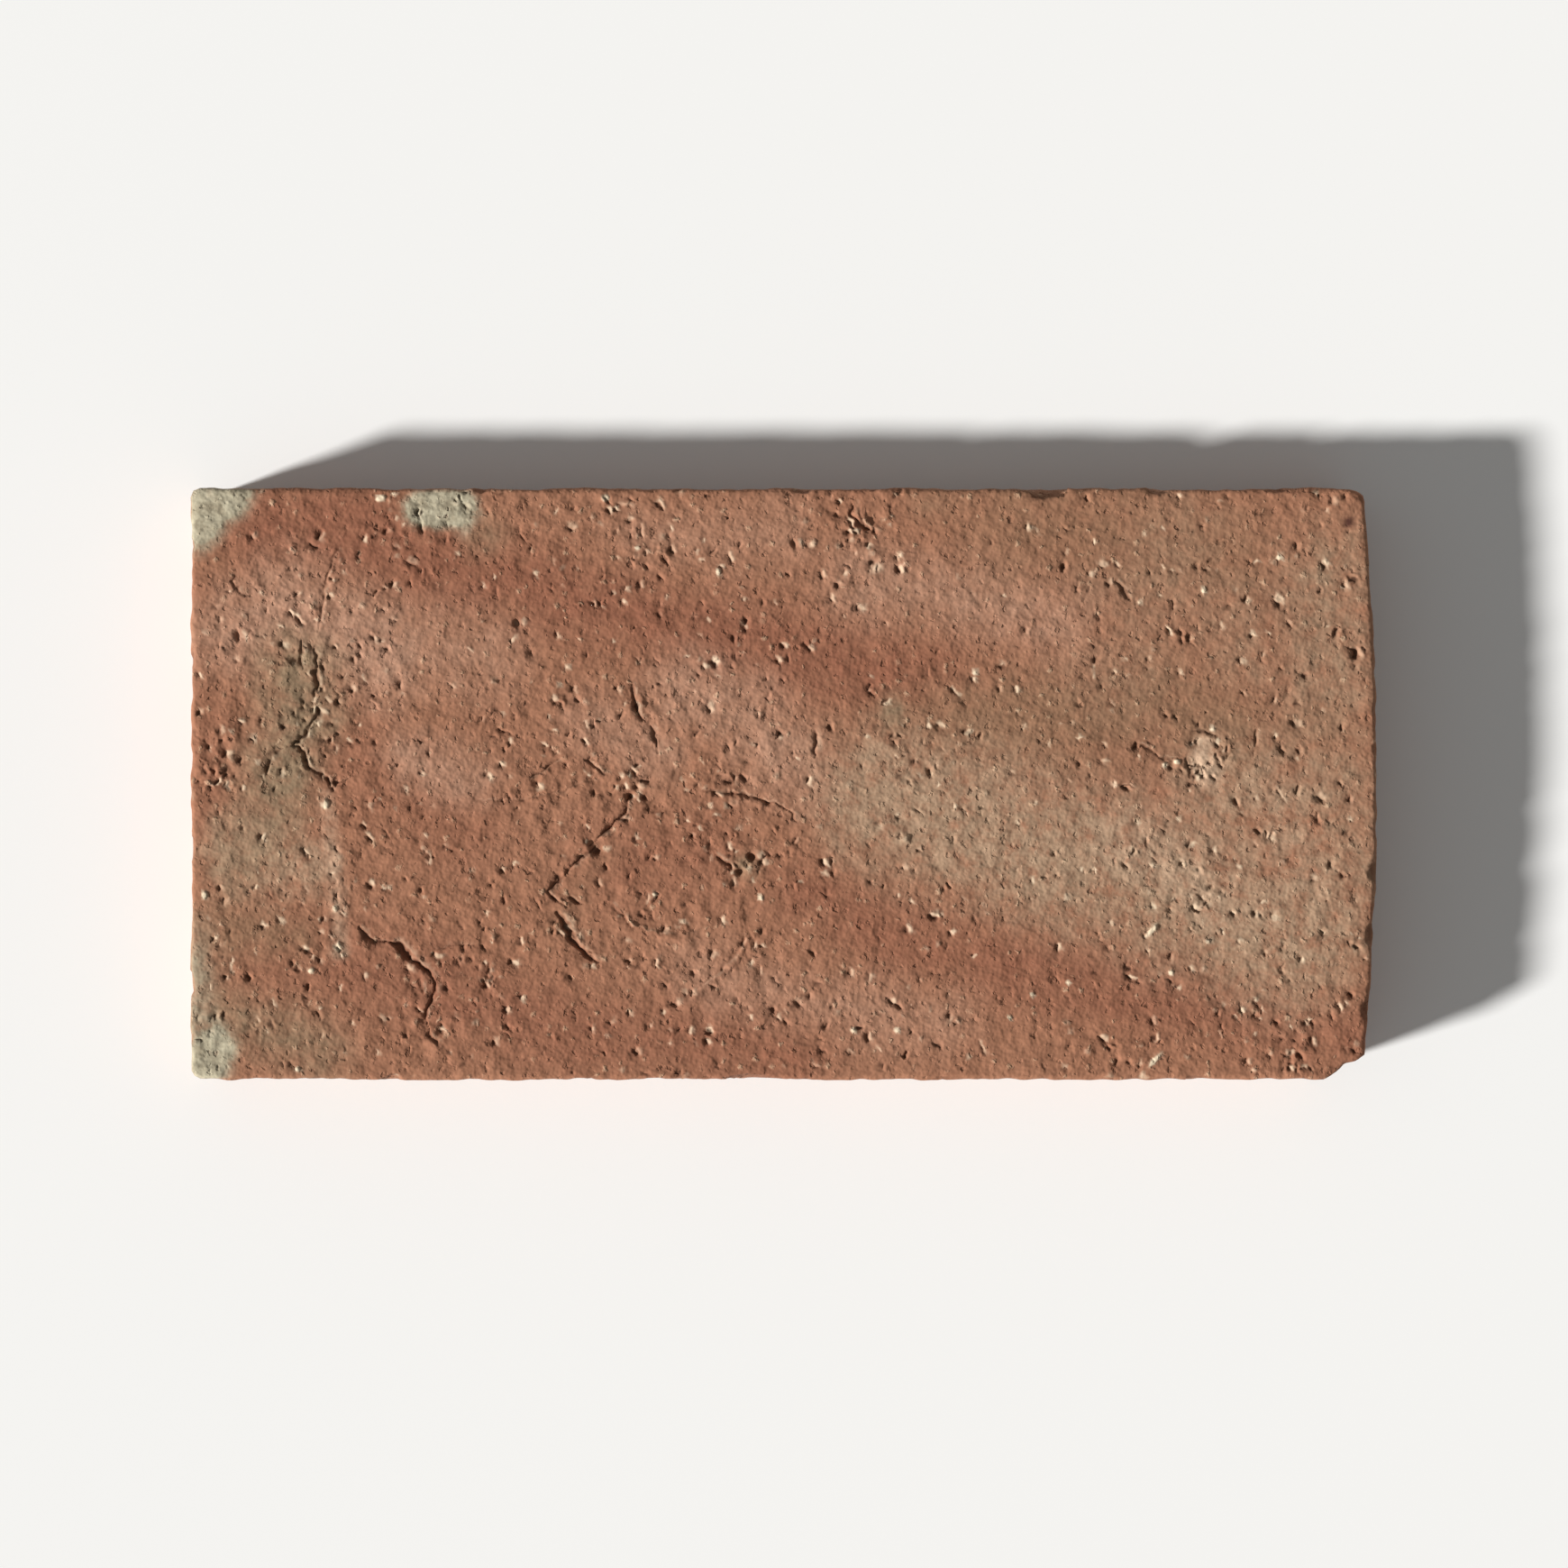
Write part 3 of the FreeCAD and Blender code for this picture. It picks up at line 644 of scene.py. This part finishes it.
# x, y, half length along x and along y, and depth
NICKS = [
    (66, 75, 6.0, 3.0, 3.5), (94.5, 75, 4.0, 2.0, 2.2), (124.5, 75, 5.0, 1.5, 1.5),
    (5, 75, 2.5, 1.8, 2), (-76, 75, 3.0, 1.6, 2), (-9, -75, 6.5, 2.0, 6), (-99, -75, 2.5, 2.0, 2.5),
    (103.5, -75, 3.0, 1.6, 2), (40, -75, 3.5, 1.3, 1.6), (-48, -75, 3.0, 1.3, 1.6),
    (148.6, -22, 1.0, 2.6, 1.2), (147.9, -38, 1.1, 3.0, 1.4), (146.8, -57, 1.1, 2.6, 1.4),
    (149.3, 18, 1.0, 3.0, 1.2), (-150, 31, 1.6, 3.0, 2), (-150, -16, 1.6, 4.0, 2.5),
    (-150, -50, 1.8, 3.5, 3), (-150, 60, 1.5, 2.5, 2),
]
for x, y, half_x, half_y, depth in NICKS:
    radii = np.array([half_x, half_y, depth])
    centre = np.array([x, y, FACE_LEVEL])
    inward = (-math.copysign(1, x), 0) if abs(x) > END_ZONE else (0, -math.copysign(1, y))
    way = np.array([*inward, -SLIDE_DOWN])
    # the way to the wall is the far root of a quadratic, with the ellipsoid taken as a ball
    offset = (points - centre) / radii
    slide = way / radii
    a = slide @ slide
    b = offset @ slide
    c = (offset**2).sum(axis=1) - (1 - 0.25 * ragged) ** 2
    inside = c < 0
    reach = (-b + np.sqrt(np.maximum(b * b - a * c, 0))) / a
    points[inside] += reach[inside, None] * way
    # each nick is darkened with painted shade
    hollow_shade[inside] = np.maximum(hollow_shade[inside], NICK_SHADE)
# nothing leaves the CAD box
edge_low = np.array(low) / MM
edge_high = np.array(high) / MM
points = np.clip(points, edge_low, edge_high)
for vert, point in zip(tile.verts, points):
    vert.co = point
print(f"{len(NICKS)} nicks")

# %% [markdown]
# ## Where the kiln and the weather coloured it
# The face is red clay with darker bands from the flame, paler clay between them, a buff haze of lime
# over the right half and grey-green bloom in the corners. Such stains follow no repeating pattern, so
# no texture node gives them. Weight Paint would do it by hand, and here the masks are painted by
# numbers. Each stroke is a line, the distance over which it fades, and a strength.

# %% Strokes
STROKES = {
    "flame_band": [
        ([(-132, 63), (-112, 65), (-92, 57), (-67, 50), (-37, 42), (-7, 35), (17, 30), (38, 27)], 19, 0.95),
        ([(-148, 48), (-146, 20), (-147, -5)], 11, 0.35),
        ([(-128, -40), (-100, -48), (-77, -57), (-50, -62), (-23, -65), (2, -69)], 19, 0.7),
        ([(5, -27), (27, -38), (53, -44), (83, -51), (113, -57), (147, -63)], 17, 0.75),
        ([(-112, 10), (-98, 0), (-80, -12)], 19, 0.5),
        ([(-45, -20), (-22, -18)], 20, 0.55),
    ],
    "pale_clay": [
        ([(-140, 38), (-126, 46), (-100, 32)], 19, 0.95),
        ([(-90, 34), (-75, 33)], 18, 0.5),
        ([(-25, 22), (-10, 18), (5, 2)], 18, 0.7),
        ([(20, 52), (45, 47), (70, 41)], 18, 0.65),
        ([(-35, 62), (0, 62)], 14, 0.4),
        ([(-94, 6), (-80, 1)], 13, 0.8),
        ([(-46, 14), (-32, 8)], 14, 0.55),
        ([(-20, -48), (10, -55), (40, -60)], 15, 0.45),
    ],
    "buff_haze": [
        ([(25, -3), (55, -13), (85, -22), (110, -32), (128, -41)], 29, 0.9),
        ([(113, -3), (140, 0), (142, -25)], 26, 0.55),
        ([(137, 52), (138, 28)], 24, 0.65),
        ([(-138, -18), (-122, -22)], 16, 0.6),
        ([(-149, -38), (-149, -60)], 9, 0.8),
        ([(100, 60), (85, 30)], 24, 0.3),
        ([(110, 44), (118, 32)], 18, 0.45),
    ],
    "dull_brown": [
        ([(42, 17), (60, 17), (78, 15), (95, 22), (112, 13)], 20, 1.0),
        ([(60, 66), (85, 65), (110, 58)], 26, 0.65),
        ([(125, 12), (135, 14)], 14, 0.5),
        ([(-140, -36), (-122, -38)], 13, 0.95),
        ([(-46, -18), (-56, -34)], 8, 0.35),
    ],
    "olive_smoke": [
        ([(-123, 28), (-122, 14), (-126, 2)], 17, 0.95),
        ([(-132, -12), (-136, -20)], 15, 0.55),
        ([(27, 18)], 8, 0.8),
        ([(-9, -20.5)], 5.5, 0.8),
        ([(-140, -60), (-118, -66)], 15, 0.6),
        ([(-75, 63)], 9, 0.4),
        ([(37, 71)], 10, 0.35),
    ],
    "grey_bloom": [
        ([(-147.5, 73), (-141, 73), (-147.5, 65)], 9, 3.0),
        ([(-91.5, 69), (-81.5, 69)], 5.4, 3.0),
        ([(-147, -72), (-144, -67)], 8, 2.2),
        ([(-149, -45), (-148, -60)], 6, 0.6),
    ],
    "haze_fleck": [
        ([(25, -3), (55, -13), (85, -22), (110, -32), (128, -41)], 27, 0.27),
        ([(113, -3), (125, -8), (132, -25)], 20, 0.25),
        ([(-138, -18), (-122, -22)], 15, 0.3),
    ],
    "bloom_fleck": [
        ([(-147.5, 73), (-141, 73), (-147.5, 65)], 10, 0.6),
        ([(-91.5, 69), (-81.5, 69)], 6.5, 0.6),
        ([(-147, -72), (-144, -67)], 9, 0.5),
    ],
    "lime_dust": [
        ([(105.5, 9), (107, 2)], 4.5, 0.9),
        ([(-115.5, -3), (-113, -25), (-112, -42)], 4, 0.45),
        ([(88, -15), (108, -30)], 13, 0.25),
    ],
    "iron_spot": [
        ([(142.2, 66)], 1.9, 1.2),
    ],
}
print(f"{sum(len(strokes) for strokes in STROKES.values())} strokes for {len(STROKES)} stains")

# %% Paint the masks
# the edge of a stain wanders, and less so where it is narrow
wander = 4.0 * noise_field(size=16, shift=61) + 2.4 * noise_field(size=5, shift=67)
FULL_WANDER = 14
# how much of each stain runs over the edge onto the sides
SIDE_SHARE = dict.fromkeys(STROKES, 0.8)
SIDE_SHARE["grey_bloom"] = 0.15
SIDE_SHARE["bloom_fleck"] = 0.15
# the kiln coloured the bed too, but the weather never reached it
BED_SHARE = dict.fromkeys(STROKES, 0)
BED_SHARE["flame_band"] = 0.5
BED_SHARE["pale_clay"] = 0.5
# the painted shade, and the pale of lime grains and of painted highlights, go along with the stains
masks = {"hollow_shade": hollow_shade, "lime_and_highlight": lime_and_highlight}
for name, strokes in STROKES.items():
    mask = np.zeros(len(points))
    for line, fade, strength in strokes:
        gap, _ = distance_to_line(plan, line)
        edge = gap + wander * min(1, fade / FULL_WANDER)
        mask = np.maximum(mask, strength * swell(1 - edge / fade))
    masks[name] = mask * (on_face + SIDE_SHARE[name] * on_side + BED_SHARE[name] * on_bed)
print("masks:", ", ".join(masks))

# %% [markdown]
# ## From bmesh to piece
# So far the mesh was worked in millimetres, and Blender counts in metres, so it is scaled once and
# written to an object that stays at the origin. The masks become attributes of its vertices, where the
# material can read them. Smooth shading suits worn clay.

# %% Finish the mesh
mesh = bpy.data.meshes.new("tile_slab")
bmesh.ops.scale(tile, vec=(MM, MM, MM), verts=tile.verts[:])
tile.to_mesh(mesh)
tile.free()
for name, mask in masks.items():
    mesh.attributes.new(name, "FLOAT", "POINT").data.foreach_set("value", mask.astype(np.float32))
mesh.shade_smooth()
slab = bpy.data.objects.new("tile_slab", mesh)
bpy.context.scene.collection.objects.link(slab)
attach(slab, "root")
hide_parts("floor_tile")
print(f"tile_slab: {len(mesh.vertices)} vertices")

# %% [markdown]
# ## Fired terracotta
# Terracotta is porous, unglazed clay, fired red by its iron. It reflects almost nothing sharply, so the
# roughness is high and the look lies in its colour: two reds that drift into each other, and the
# painted stains over them. A photograph as a texture would be quicker, but it would carry its own light
# and shadows along.


# %% Colours and nodes
def linear(code):
    """Linear colour of an sRGB hex code."""
    channels = [int(code[first:first + 2], 16) / 255 for first in (1, 3, 5)]
    return [c / 12.92 if c <= 0.04045 else ((c + 0.055) / 1.055) ** 2.4 for c in channels] + [1]


def per_mm(size):
    """Scale of a texture node whose features measure a number of millimetres."""
    return 1 / (size * MM)


def add_node(tree, kind, inputs=None, **settings):
    """Adds a node, sets its properties, and fills its inputs with values or links."""
    node = tree.nodes.new(kind)
    for name, value in settings.items():
        setattr(node, name, value)
    for name, value in (inputs or {}).items():
        if isinstance(value, bpy.types.NodeSocket):
            tree.links.new(value, node.inputs[name])
        else:
            node.inputs[name].default_value = value
    return node


# unglazed fired clay: dull and dry to the eye, with no highlight, only a change of tone with the light
terracotta = bpy.data.materials.new("fired_terracotta")
terracotta.use_nodes = True
tree = terracotta.node_tree
tree.nodes.clear()
in_object = add_node(tree, "ShaderNodeTexCoord").outputs["Object"]
print(f"{terracotta.name}: {len(tree.nodes)} node so far")

# %% Clay and stains
# numbers of a Mix node's sockets where it mixes colours
FACTOR, FIRST, SECOND, RESULT = 0, 6, 7, 2
CLAY_DEEP = "#98674D"
CLAY_LIGHT = "#A07157"
# size in millimetres, detail and roughness; real sand is finer, and this is as coarse as it needs to show
NOISES = {"drift": (26, 4, 0.6), "blotch": (6, 5, 0.7), "grit": (1.8, 1, 0.5), "sand": (0.8, 1, 0.5)}
fields = {}
for name, (size, detail, rough) in NOISES.items():
    settings = {"Vector": in_object, "Scale": per_mm(size), "Detail": detail, "Roughness": rough}
    fields[name] = add_node(tree, "ShaderNodeTexNoise", settings).outputs["Fac"]

colour = add_node(
    tree, "ShaderNodeMix",
    {FACTOR: fields["drift"], FIRST: linear(CLAY_DEEP), SECOND: linear(CLAY_LIGHT)}, data_type="RGBA",
).outputs[RESULT]
# name of the mask, colour, and how far the blotches break the stain up
STAINS = [
    ("flame_band", "#915E47", 2.0), ("pale_clay", "#B0856C", 2.5), ("dull_brown", "#926C52", 2.5),
    ("buff_haze", "#9F7F65", 4.5), ("haze_fleck", "#BB9B7E", 9.0),
    ("olive_smoke", "#8F765C", 3.0), ("grey_bloom", "#9C9078", 3.0), ("bloom_fleck", "#C3B99E", 9.0),
    # the last, lime, pales both the lime grains and the painted highlights on the sunlit sides of marks
    ("lime_dust", "#C2A286", 5.0), ("iron_spot", "#4E2F25", 0.0), ("lime_and_highlight", "#E4CFB0", 0.5),
]
for name, code, breaking in STAINS:
    mask = add_node(tree, "ShaderNodeAttribute", attribute_name=name).outputs["Fac"]
    spread = {0: fields["blotch"], 1: breaking, 2: 1 - breaking / 2}
    share = add_node(tree, "ShaderNodeMath", spread, operation="MULTIPLY_ADD").outputs[0]
    cover = add_node(
        tree, "ShaderNodeMath", {0: mask, 1: share}, operation="MULTIPLY", use_clamp=True,
    ).outputs[0]
    colour = add_node(
        tree, "ShaderNodeMix", {FACTOR: cover, FIRST: colour, SECOND: linear(code)}, data_type="RGBA",
    ).outputs[RESULT]
print(f"{len(STAINS)} stains over the clay")

# %% [markdown]
# ## Loose grains
# Sand was mixed into the clay, and its pale and dark grains show all over the face. A Voronoi texture
# gives each grain a cell of its own, and the cell's random colour says whether it is pale, dark or
# plain, and how large. Noise shifts the place first, so that no grain is a disc.

# %% Loose grains
GRAIN = 2.0
# where in the cell's red channel each kind of grain begins and is full, and its colour
GRAIN_KINDS = [(0.8, 0.95, "#D6B795"), (0.2, 0.05, "#6E4632")]
GRAIN_COVER = 0.5
jitter = add_node(tree, "ShaderNodeTexNoise", {"Vector": in_object, "Scale": per_mm(1.2), "Detail": 2})
uneven_place = add_node(
    tree, "ShaderNodeVectorMath", {0: jitter.outputs["Color"], 1: (GRAIN * MM,) * 3, 2: in_object},
    operation="MULTIPLY_ADD",
).outputs[0]
cells = add_node(tree, "ShaderNodeTexVoronoi", {"Vector": uneven_place, "Scale": per_mm(GRAIN)})
chance = add_node(tree, "ShaderNodeSeparateColor", {"Color": cells.outputs["Color"]})
reach = add_node(
    tree, "ShaderNodeMath", {0: chance.outputs["Green"], 1: 0.35, 2: 0.25}, operation="MULTIPLY_ADD",
).outputs[0]
grain = add_node(
    tree, "ShaderNodeMapRange",
    {"Value": cells.outputs["Distance"], "From Min": 0.0, "From Max": reach, "To Min": 1.0, "To Max": 0.0},
    interpolation_type="SMOOTHSTEP",
).outputs["Result"]
for begins, full, code in GRAIN_KINDS:
    kind = add_node(
        tree, "ShaderNodeMapRange",
        {"Value": chance.outputs["Red"], "From Min": begins, "From Max": full,
         "To Min": 0.0, "To Max": GRAIN_COVER},
    ).outputs["Result"]
    cover = add_node(tree, "ShaderNodeMath", {0: grain, 1: kind}, operation="MULTIPLY").outputs[0]
    colour = add_node(
        tree, "ShaderNodeMix", {FACTOR: cover, FIRST: colour, SECOND: linear(code)}, data_type="RGBA",
    ).outputs[RESULT]
print(f"pale and dark grains about {GRAIN} mm apart")

# %% [markdown]
# ## Mottle and painted shade
# Grit breaks the red up into lighter and darker flecks. Cracks, holes and nicks, and the steep side of
# each plucked mark, which faces away from the sun, are darkened with painted shade. The Pointiness of
# the Geometry node could find such hollows, but the mask that the relief left behind knows them exactly.

# %% Mottle and painted shade
# dark colour of the painted shade in cracks, holes, nicks and the steep sides of marks
SHADE_COLOUR = "#2E1507"
SHADE_COVER = 0.8
mottle = add_node(
    tree, "ShaderNodeMapRange",
    {"Value": fields["grit"], "From Min": 0.3, "From Max": 0.7, "To Min": 0.91, "To Max": 1.08},
).outputs["Result"]
colour = add_node(
    tree, "ShaderNodeMix", {FACTOR: 1.0, FIRST: colour, SECOND: mottle},
    data_type="RGBA", blend_type="MULTIPLY",
).outputs[RESULT]
# the hollows are darkened towards that colour as painted shade
sunk = add_node(tree, "ShaderNodeAttribute", attribute_name="hollow_shade").outputs["Fac"]
painted_shade = add_node(tree, "ShaderNodeMath", {0: sunk, 1: SHADE_COVER}, operation="MULTIPLY").outputs[0]
colour = add_node(
    tree, "ShaderNodeMix", {FACTOR: painted_shade, FIRST: colour, SECOND: linear(SHADE_COLOUR)}, data_type="RGBA",
).outputs[RESULT]
# how much of the clay the painted shade covers at most
print(f"dirt covers at most {SHADE_COVER:.0%} of the clay in a hollow")

# %% [markdown]
# ## The finest grit
# Sand that is finer than the mesh still catches the light. It is bump, a height in the material that
# only tilts the shading. More vertices could carry it too, but the piece would grow many times too
# heavy. All that is large enough to show an outline is real relief already.

# %% Grit as bump, and the shader
# heights in millimetres
level = add_node(
    tree, "ShaderNodeMath", {0: chance.outputs["Red"], 1: 0.7, 2: -0.4}, operation="MULTIPLY_ADD",
)
height = add_node(tree, "ShaderNodeMath", {0: grain, 1: level.outputs[0]}, operation="MULTIPLY").outputs[0]
for name, share in (("grit", 0.48), ("sand", 0.05)):
    height = add_node(
        tree, "ShaderNodeMath", {0: fields[name], 1: share, 2: height}, operation="MULTIPLY_ADD",
    ).outputs[0]
bump = add_node(tree, "ShaderNodeBump", {"Height": height, "Strength": 1.0, "Distance": MM})
shader = add_node(
    tree, "ShaderNodeBsdfPrincipled",
    {"Base Color": colour, "Roughness": 0.93, "IOR": 1.5, "Specular IOR Level": 0.25,
     "Normal": bump.outputs["Normal"]},
)
add_node(tree, "ShaderNodeOutputMaterial", {"Surface": shader.outputs["BSDF"]})
mesh.materials.append(terracotta)
print(f"fired_terracotta: {len(tree.nodes)} nodes")

# %% [markdown]
# ## Floor
# The tile lies on a plain pale floor, which takes its shadow. It is one large square, because a curved
# backdrop would not show in a view from above.

# %% Floor
FLOOR_SIZE = 6.0
floor_mesh = bpy.data.meshes.new("floor")
plane = bmesh.new()
bmesh.ops.create_grid(plane, x_segments=1, y_segments=1, size=FLOOR_SIZE / 2)
plane.to_mesh(floor_mesh)
plane.free()
floor = bpy.data.objects.new("floor", floor_mesh)
bpy.context.scene.collection.objects.link(floor)
# matt paint, nearly white, so that the tile's own colours stand out
paint = bpy.data.materials.new("pale_floor_paint")
paint.use_nodes = True
paint.node_tree.nodes["Principled BSDF"].inputs["Base Color"].default_value = linear("#F4F3F0")
paint.node_tree.nodes["Principled BSDF"].inputs["Roughness"].default_value = 0.9
floor_mesh.materials.append(paint)
print(f"floor {FLOOR_SIZE:.0f} m wide")

# %% [markdown]
# ## Light
# One soft sun comes low from the left and a little from the front, because raking light is what shows
# relief, and an even sky fills the shadows. Area lamps would do as well, but they fade across the tile.
# Sun and sky together light a level surface at one, so that a colour renders about as it is written.

# %% Light
SKY = 0.22
KEY_HEIGHT = math.radians(25)
KEY_SIDE = math.radians(20)
KEY_SOFTNESS = math.radians(6)
world = bpy.data.worlds.new("even_sky")
world.use_nodes = True
world.node_tree.nodes["Background"].inputs["Color"].default_value = (1, 1, 1, 1)
world.node_tree.nodes["Background"].inputs["Strength"].default_value = SKY
bpy.context.scene.world = world
key_lamp = bpy.data.lights.new("key", "SUN")
key_lamp.energy = (1 - SKY) * math.pi / math.sin(KEY_HEIGHT)
key_lamp.angle = KEY_SOFTNESS
key = bpy.data.objects.new("key", key_lamp)
bpy.context.scene.collection.objects.link(key)
level_share = math.cos(KEY_HEIGHT)
key_way = Vector((
    math.cos(KEY_SIDE) * level_share, math.sin(KEY_SIDE) * level_share, -math.sin(KEY_HEIGHT),
))
key.rotation_euler = key_way.to_track_quat("-Z", "Y").to_euler()
print(f"sun of {key_lamp.energy:.2f} W/m2 and sky of {SKY}")

# %% [markdown]
# ## Camera
# The real tile was seen from straight above, so the camera hangs over its middle, unturned. Its height
# follows from the lens and from how much of the frame the tile takes up, which is surer than moving it
# by eye.

# %% Camera
TILE_SHARE = 0.76
LENS = 85
camera_data = bpy.data.cameras.new("camera")
camera_data.lens = LENS
frame_width = LENGTH * MM / TILE_SHARE
camera = bpy.data.objects.new("camera", camera_data)
camera.location = (0, 0, THICKNESS * MM + frame_width * camera_data.lens / camera_data.sensor_width)
bpy.context.scene.collection.objects.link(camera)
bpy.context.scene.camera = camera
bpy.context.scene.view_settings.view_transform = "Standard"
print(f"camera {camera.location.z:.2f} m above the floor")
